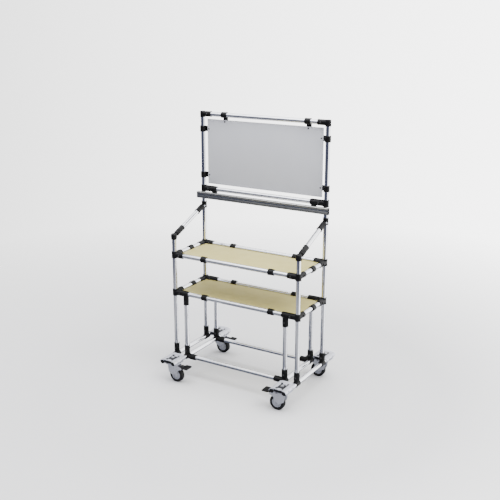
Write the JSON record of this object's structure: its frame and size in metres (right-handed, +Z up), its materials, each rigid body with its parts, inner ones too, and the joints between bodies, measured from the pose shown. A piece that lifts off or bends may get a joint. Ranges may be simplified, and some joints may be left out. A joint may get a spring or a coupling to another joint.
{
  "type": "mobile pipe-frame workstation cart",
  "caption": "Mobile workstation cart of round pipe and clamp joints, with two shelf boards, a raised rear panel, a tool rail and braked swivel casters.",
  "frame": {"origin": "on the floor, at the centre of the cart's footprint box", "axes": "+Z up, +X to the cart's right seen from the front, +Y to its rear, where the panel stands"},
  "size_m": [0.986, 0.697, 1.752],
  "materials": {
    "bright_steel_pipe": "bright stainless pipe, lightly brushed",
    "black_joint": "black electrocoated steel, satin",
    "beige_board": "beige laminated board, matte",
    "grey_panel": "light grey laminated board, satin",
    "rail_aluminium": "anodised extrusion",
    "slate_strip": "slate grey strip",
    "zinc_steel": "zinc plated pressed steel",
    "wheel_rubber": "black rubber tread on a grey disc",
    "black_plastic": "ribbed black pedal"
  },
  "bodies": {
    "root": {"base_pipe_outer_left": "bright_steel_pipe", "base_pipe_inner_left": "bright_steel_pipe", "base_pipe_outer_right": "bright_steel_pipe", "base_pipe_inner_right": "bright_steel_pipe", "base_cross_pipe_front": "bright_steel_pipe", "base_cross_pipe_rear": "bright_steel_pipe", "post_front_left": "bright_steel_pipe", "post_front_right": "bright_steel_pipe", "post_rear_left": "bright_steel_pipe", "post_rear_right": "bright_steel_pipe", "leg_front_left": "bright_steel_pipe", "leg_front_right": "bright_steel_pipe", "leg_rear_left": "bright_steel_pipe", "leg_rear_right": "bright_steel_pipe", "lower_shelf_pipe_front": "bright_steel_pipe", "lower_shelf_pipe_rear": "bright_steel_pipe", "lower_shelf_pipe_left": "bright_steel_pipe", "lower_shelf_pipe_right": "bright_steel_pipe", "lower_shelf_corner_front_left": "black_joint", "lower_shelf_corner_front_right": "black_joint", "lower_shelf_corner_rear_left": "black_joint", "lower_shelf_corner_rear_right": "black_joint", "lower_shelf_board": "beige_board", "upper_shelf_pipe_front": "bright_steel_pipe", "upper_shelf_pipe_rear": "bright_steel_pipe", "upper_shelf_pipe_left": "bright_steel_pipe", "upper_shelf_pipe_right": "bright_steel_pipe", "upper_shelf_corner_front_left": "black_joint", "upper_shelf_corner_front_right": "black_joint", "upper_shelf_corner_rear_left": "black_joint", "upper_shelf_corner_rear_right": "black_joint", "upper_shelf_board": "beige_board", "brace_left": "black_joint", "brace_right": "black_joint", "panel_pipe_lower": "bright_steel_pipe", "panel_pipe_top": "bright_steel_pipe", "panel_corner_left": "black_joint", "top_corner_left": "black_joint", "panel_corner_right": "black_joint", "top_corner_right": "black_joint", "panel_board": "grey_panel", "tool_rail": "rail_aluminium", "tool_rail_strip": "slate_strip", "caster_mount_front_left": "zinc_steel", "caster_mount_front_right": "zinc_steel", "caster_mount_rear_left": "zinc_steel", "caster_mount_rear_right": "zinc_steel"},
    "fork_front_left": {"caster_fork_front_left": "zinc_steel"},
    "wheel_front_left": {"caster_wheel_front_left": "wheel_rubber"},
    "pedal_front_left": {"brake_pedal_front_left": "black_plastic"},
    "fork_front_right": {"caster_fork_front_right": "zinc_steel"},
    "wheel_front_right": {"caster_wheel_front_right": "wheel_rubber"},
    "pedal_front_right": {"brake_pedal_front_right": "black_plastic"},
    "fork_rear_left": {"caster_fork_rear_left": "zinc_steel"},
    "wheel_rear_left": {"caster_wheel_rear_left": "wheel_rubber"},
    "pedal_rear_left": {"brake_pedal_rear_left": "black_plastic"},
    "fork_rear_right": {"caster_fork_rear_right": "zinc_steel"},
    "wheel_rear_right": {"caster_wheel_rear_right": "wheel_rubber"},
    "pedal_rear_right": {"brake_pedal_rear_right": "black_plastic"}
  },
  "joints": [
    {"name": "swivel_front_left", "type": "hinge", "parent": "root", "child": "fork_front_left", "pos_m": [-0.417, -0.2835, 0.125], "axis": [0, 0, 1], "continuous": true},
    {"name": "roll_front_left", "type": "hinge", "parent": "fork_front_left", "child": "wheel_front_left", "pos_m": [-0.385, -0.2835, 0.05], "axis": [0, 1, 0], "continuous": true},
    {"name": "brake_front_left", "type": "hinge", "parent": "fork_front_left", "child": "pedal_front_left", "pos_m": [-0.357, -0.2835, 0.106], "axis": [0, 1, 0], "range_deg": [0, 10]},
    {"name": "swivel_front_right", "type": "hinge", "parent": "root", "child": "fork_front_right", "pos_m": [0.417, -0.2835, 0.125], "axis": [0, 0, 1], "continuous": true},
    {"name": "roll_front_right", "type": "hinge", "parent": "fork_front_right", "child": "wheel_front_right", "pos_m": [0.385, -0.2835, 0.05], "axis": [0, 1, 0], "continuous": true},
    {"name": "brake_front_right", "type": "hinge", "parent": "fork_front_right", "child": "pedal_front_right", "pos_m": [0.357, -0.2835, 0.106], "axis": [0, -1, 0], "range_deg": [0, 10]},
    {"name": "swivel_rear_left", "type": "hinge", "parent": "root", "child": "fork_rear_left", "pos_m": [-0.417, 0.2835, 0.125], "axis": [0, 0, 1], "continuous": true},
    {"name": "roll_rear_left", "type": "hinge", "parent": "fork_rear_left", "child": "wheel_rear_left", "pos_m": [-0.385, 0.2835, 0.05], "axis": [0, 1, 0], "continuous": true},
    {"name": "brake_rear_left", "type": "hinge", "parent": "fork_rear_left", "child": "pedal_rear_left", "pos_m": [-0.357, 0.2835, 0.106], "axis": [0, 1, 0], "range_deg": [0, 10]},
    {"name": "swivel_rear_right", "type": "hinge", "parent": "root", "child": "fork_rear_right", "pos_m": [0.417, 0.2835, 0.125], "axis": [0, 0, 1], "continuous": true},
    {"name": "roll_rear_right", "type": "hinge", "parent": "fork_rear_right", "child": "wheel_rear_right", "pos_m": [0.385, 0.2835, 0.05], "axis": [0, 1, 0], "continuous": true},
    {"name": "brake_rear_right", "type": "hinge", "parent": "fork_rear_right", "child": "pedal_rear_right", "pos_m": [0.357, 0.2835, 0.106], "axis": [0, -1, 0], "range_deg": [0, 10]}
  ]
}
